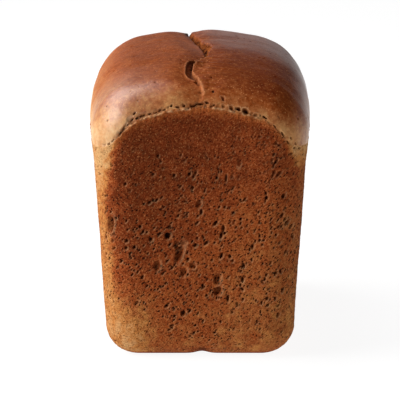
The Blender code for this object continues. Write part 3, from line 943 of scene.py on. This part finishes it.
class Nodes:
    """Short calls for building a node material."""

    def __init__(self, name):
        self.material = bpy.data.materials.new(name)
        self.material.use_nodes = True
        self.tree = self.material.node_tree
        self.shader = self.tree.nodes["Principled BSDF"]
        self.place = self.add("ShaderNodeTexCoord").outputs["Object"]

    def add(self, kind, **settings):
        node = self.tree.nodes.new(kind)
        for name, value in settings.items():
            setattr(node, name, value)
        return node

    def join(self, source, target):
        if isinstance(source, (int, float, tuple)):
            target.default_value = source
        else:
            self.tree.links.new(source, target)

    def share(self, name):
        return self.add("ShaderNodeAttribute", attribute_name=name).outputs["Fac"]

    def math(self, operation, first, second=0.0, clamp=False):
        node = self.add("ShaderNodeMath", operation=operation, use_clamp=clamp)
        self.join(first, node.inputs[0])
        self.join(second, node.inputs[1])
        return node.outputs[0]

    def leaning(self, lean, rise):
        """Places in which features draw out upward and lean over sideways."""
        parts = self.add("ShaderNodeSeparateXYZ")
        self.join(self.place, parts.inputs[0])
        back = self.math("MULTIPLY", parts.outputs["Z"], lean)
        whole = self.add("ShaderNodeCombineXYZ")
        self.join(self.math("SUBTRACT", parts.outputs["X"], back), whole.inputs["X"])
        self.join(self.math("SUBTRACT", parts.outputs["Y"], back), whole.inputs["Y"])
        self.join(self.math("MULTIPLY", parts.outputs["Z"], rise), whole.inputs["Z"])
        return whole.outputs[0]

    def noise(self, size, detail=3.0, roughness=0.55, place=None):
        node = self.add("ShaderNodeTexNoise")
        self.join(place or self.place, node.inputs["Vector"])
        node.inputs["Scale"].default_value = 1.0 / size
        node.inputs["Detail"].default_value = detail
        node.inputs["Roughness"].default_value = roughness
        return node.outputs["Fac"]

    def cells(self, size, place=None):
        node = self.add("ShaderNodeTexVoronoi")
        self.join(place or self.place, node.inputs["Vector"])
        node.inputs["Scale"].default_value = 1.0 / size
        return node.outputs["Distance"]

    def remap(self, value, low, high, to_low=0.0, to_high=1.0):
        node = self.add("ShaderNodeMapRange")
        self.join(value, node.inputs["Value"])
        set_range(node, low, high, to_low, to_high)
        return node.outputs["Result"]

    def ramp(self, value, *stops):
        node = self.add("ShaderNodeValToRGB")
        self.join(value, node.inputs["Fac"])
        elements = node.color_ramp.elements
        while len(elements) < len(stops):
            elements.new(1.0)
        for element, (place, colour) in zip(elements, stops):
            element.position = place
            element.color = (*colour, 1.0)
        return node.outputs["Color"]

    def mix(self, factor, first, second, blend="MIX"):
        node = self.add("ShaderNodeMix", data_type="RGBA", blend_type=blend)
        self.join(factor, node.inputs["Factor"])
        self.join(first, node.inputs["A"])
        self.join(second, node.inputs["B"])
        return node.outputs["Result"]


def crust_colour(nodes, grain, dome_grain, rough_part, pinholes):
    """The crust's colour: baked browns, then grain, specks and pinholes, then torn and pale parts, with
    painted highlights and painted shade.
    """
    wall, core, torn, dark, pale = (nodes.share(name) for name in ("wall", "core", "torn", "dark", "pale"))
    mottle = nodes.noise(MOTTLE_SIZE, 4.0)
    patches = nodes.noise(PATCH_SIZE, 3.0)
    brown = nodes.math("ADD", nodes.share("brown"), nodes.remap(mottle, 0.3, 0.7, -0.09, 0.09))
    brown = nodes.math("ADD", brown, nodes.remap(patches, 0.3, 0.7, -0.1, 0.1), clamp=True)
    colour = nodes.mix(wall, nodes.ramp(brown, *DOME_STOPS), nodes.ramp(brown, *WALL_STOPS))

    # Lighter on the grain's high points and darker in its low points: grain tone with a painted highlight
    # and painted shade of the grain's relief.
    mixed_grain = nodes.mix(rough_part, dome_grain, grain)
    light = nodes.remap(mixed_grain, 0.51, 0.66)
    grain_shade = nodes.remap(mixed_grain, 0.49, 0.37)
    rising = nodes.remap(brown, 0.1, 0.6, 0.5, 1.0)
    falling = nodes.remap(brown, 0.6, 1.0, 1.0, 0.6)
    grain_share = nodes.math("MULTIPLY", rising, falling)
    grain_highlight_share = nodes.math("MULTIPLY", nodes.math("MULTIPLY", light, grain_share), GRAIN_HIGHLIGHT_SHARE)
    colour = nodes.mix(grain_highlight_share, colour, GRAIN_HIGHLIGHT_AND_FLECKS)
    deep_share = nodes.math("MULTIPLY", grain_share, nodes.remap(rough_part, 0.0, 1.0, 0.5, 1.0))
    colour = nodes.mix(nodes.math("MULTIPLY", grain_shade, deep_share), colour, GRAIN_SHADE_COLOUR, "MULTIPLY")
    speck_share = nodes.remap(wall, 0.0, 1.0, 0.62, 0.36)
    specks = nodes.math("MULTIPLY", nodes.remap(nodes.cells(SPECK_SPACING), 0.26, 0.12), speck_share)
    colour = nodes.mix(specks, colour, GRAIN_HIGHLIGHT_AND_FLECKS)
    # Painted shade in the pinholes.
    colour = nodes.mix(pinholes, colour, HOLLOW_SHADE_COLOUR, "MULTIPLY")

    torn_colour = nodes.ramp(nodes.noise(TORN_SIZE, 3.0), *TORN_STOPS)
    colour = nodes.mix(nodes.math("MULTIPLY", torn, 0.85), colour, torn_colour)
    # Pale torn crumb and rims, with painted highlights on the lip and on the lower right side of the pores'
    # rims.
    colour = nodes.mix(nodes.math("MULTIPLY", pale, 0.8), colour, RIM_COLOUR)
    # Painted shade in the hollows' cores.
    colour = nodes.mix(core, colour, HOLLOW_SHADE_COLOUR, "MULTIPLY")
    # Painted shade in grooves, cracks, holes, the crease and along the base edge.
    return nodes.mix(dark, colour, PAINTED_SHADE_COLOUR, "MULTIPLY")


def crust_height(nodes, grain, dome_grain, rough_part, pinholes):
    """The fine relief of the crust: a sandy wall with pinholes and a nearly smooth dome."""
    fine = nodes.noise(GRAIN_SIZE, 3.0, 0.6)
    wall_height = nodes.math("ADD", nodes.math("MULTIPLY", nodes.math("SUBTRACT", fine, 0.5), 0.4), grain)
    wall_height = nodes.math("SUBTRACT", wall_height, 0.5)
    wall_height = nodes.math("SUBTRACT", wall_height, nodes.math("MULTIPLY", pinholes, PINHOLE_DEPTH))
    dome_height = nodes.math("MULTIPLY", nodes.math("SUBTRACT", dome_grain, 0.5), DOME_GRAIN_HEIGHT)
    return nodes.mix(rough_part, dome_height, wall_height)


def crust_material():
    """Baked crust: matte red-brown walls, a satin dome, paler torn edges and painted shade in its hollows.
    """
    nodes = Nodes("crust")
    inputs = nodes.shader.inputs
    wall = nodes.share("wall")
    rough_part = nodes.math("MAXIMUM", wall, nodes.share("torn"))
    grain = nodes.noise(GRAIN_SIZE, 3.0, 0.7, place=nodes.leaning(GRAIN_LEAN, GRAIN_RISE))
    dome_grain = nodes.noise(DOME_GRAIN_SIZE, 3.0, 0.9)
    pinhole_reach = nodes.remap(nodes.share("porous"), 0.0, 1.0, *PINHOLE_REACH)
    pinhole_cells = nodes.cells(PINHOLE_SPACING, nodes.leaning(GRAIN_LEAN, PINHOLE_RISE))
    pinhole_place = nodes.math("DIVIDE", pinhole_cells, pinhole_reach)
    pinholes = nodes.math("MULTIPLY", nodes.remap(pinhole_place, 1.0, 0.5), wall)
    marks = (grain, dome_grain, rough_part, pinholes)
    nodes.join(crust_colour(nodes, *marks), inputs["Base Color"])

    dome_rough = nodes.remap(nodes.noise(DOME_ROUGH_SIZE, 3.0), 0.3, 0.7, *DOME_ROUGHNESS)
    nodes.join(nodes.mix(rough_part, dome_rough, WALL_ROUGHNESS), inputs["Roughness"])
    inputs["Specular IOR Level"].default_value = 0.05
    satin = nodes.math("MULTIPLY", nodes.math("SUBTRACT", 1.0, rough_part, clamp=True), nodes.share("gloss"))
    nodes.join(satin, inputs["Coat Weight"])
    inputs["Coat Roughness"].default_value = 0.4
    inputs["Coat IOR"].default_value = 1.66

    bump = nodes.add("ShaderNodeBump")
    bump.inputs["Strength"].default_value = 1.0
    bump.inputs["Distance"].default_value = BUMP_DISTANCE
    nodes.join(crust_height(nodes, *marks), bump.inputs["Height"])
    nodes.join(bump.outputs["Normal"], inputs["Normal"])
    nodes.join(bump.outputs["Normal"], inputs["Coat Normal"])
    return nodes.material


def pale_floor():
    """A plain pale floor."""
    bpy.ops.mesh.primitive_plane_add(size=FLOOR_SIZE, location=(0.0, 0.0, FLOOR_HEIGHT))
    floor = bpy.context.object
    floor.name = "floor"
    material = bpy.data.materials.new("floor")
    material.use_nodes = True
    shader = material.node_tree.nodes["Principled BSDF"]
    shader.inputs["Base Color"].default_value = FLOOR_COLOUR
    shader.inputs["Roughness"].default_value = 0.9
    shader.inputs["Specular IOR Level"].default_value = 0.1
    shader.inputs["Emission Color"].default_value = (1.0, 1.0, 1.0, 1.0)
    shader.inputs["Emission Strength"].default_value = FLOOR_GLOW
    floor.data.materials.append(material)


def area_light(name, way, distance, size, power):
    """A soft light panel that shines at the loaf from a direction."""
    light = bpy.data.lights.new(name, "AREA")
    light.shape = "RECTANGLE"
    light.size, light.size_y = size
    light.energy = power
    holder = bpy.data.objects.new(name, light)
    way = np.array(way) / np.linalg.norm(way)
    holder.location = np.array(LIGHT_AIM) + way * distance
    holder.rotation_euler = mathutils.Vector(tuple(way)).to_track_quat("Z", "Y").to_euler()
    bpy.context.scene.collection.objects.link(holder)


def daylight():
    """Soft studio light: two large keys from the upper left, a weak light behind, and a pale surround."""
    for light in LIGHTS:
        area_light(*light)
    world = bpy.data.worlds.new("surround")
    bpy.context.scene.world = world
    world.use_nodes = True
    tree = world.node_tree
    background = tree.nodes["Background"]
    background.inputs["Color"].default_value = SURROUND_COLOUR
    way = tree.nodes.new("ShaderNodeTexCoord")
    parts = tree.nodes.new("ShaderNodeSeparateXYZ")
    glow = tree.nodes.new("ShaderNodeMapRange")
    set_range(glow, *SURROUND_TURN, SURROUND_HIGH, SURROUND_LOW)
    tree.links.new(way.outputs["Generated"], parts.inputs[0])
    tree.links.new(parts.outputs["Z"], glow.inputs["Value"])
    tree.links.new(glow.outputs["Result"], background.inputs["Strength"])


def photo_camera():
    """The camera, a little above the loaf and square to its front end."""
    rise = math.radians(CAMERA_ELEVATION)
    back = np.array([0.0, -math.cos(rise), math.sin(rise)])
    data = bpy.data.cameras.new("camera")
    data.sensor_width = SENSOR_WIDTH
    data.lens = SENSOR_WIDTH * CAMERA_DISTANCE / (PHOTO_SIDE / PIXELS_PER_METRE)
    data.clip_end = CAMERA_SIGHT
    camera = bpy.data.objects.new("camera", data)
    camera.location = np.array(CAMERA_AIM) + back * CAMERA_DISTANCE
    camera.rotation_euler = (math.radians(90.0 - CAMERA_ELEVATION), 0.0, 0.0)
    bpy.context.scene.collection.objects.link(camera)
    bpy.context.scene.camera = camera


crust = crust_mesh(crust_material())
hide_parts("loaf")
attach(crust, "root")
pale_floor()
daylight()
photo_camera()
bpy.context.scene.view_settings.view_transform = "Standard"
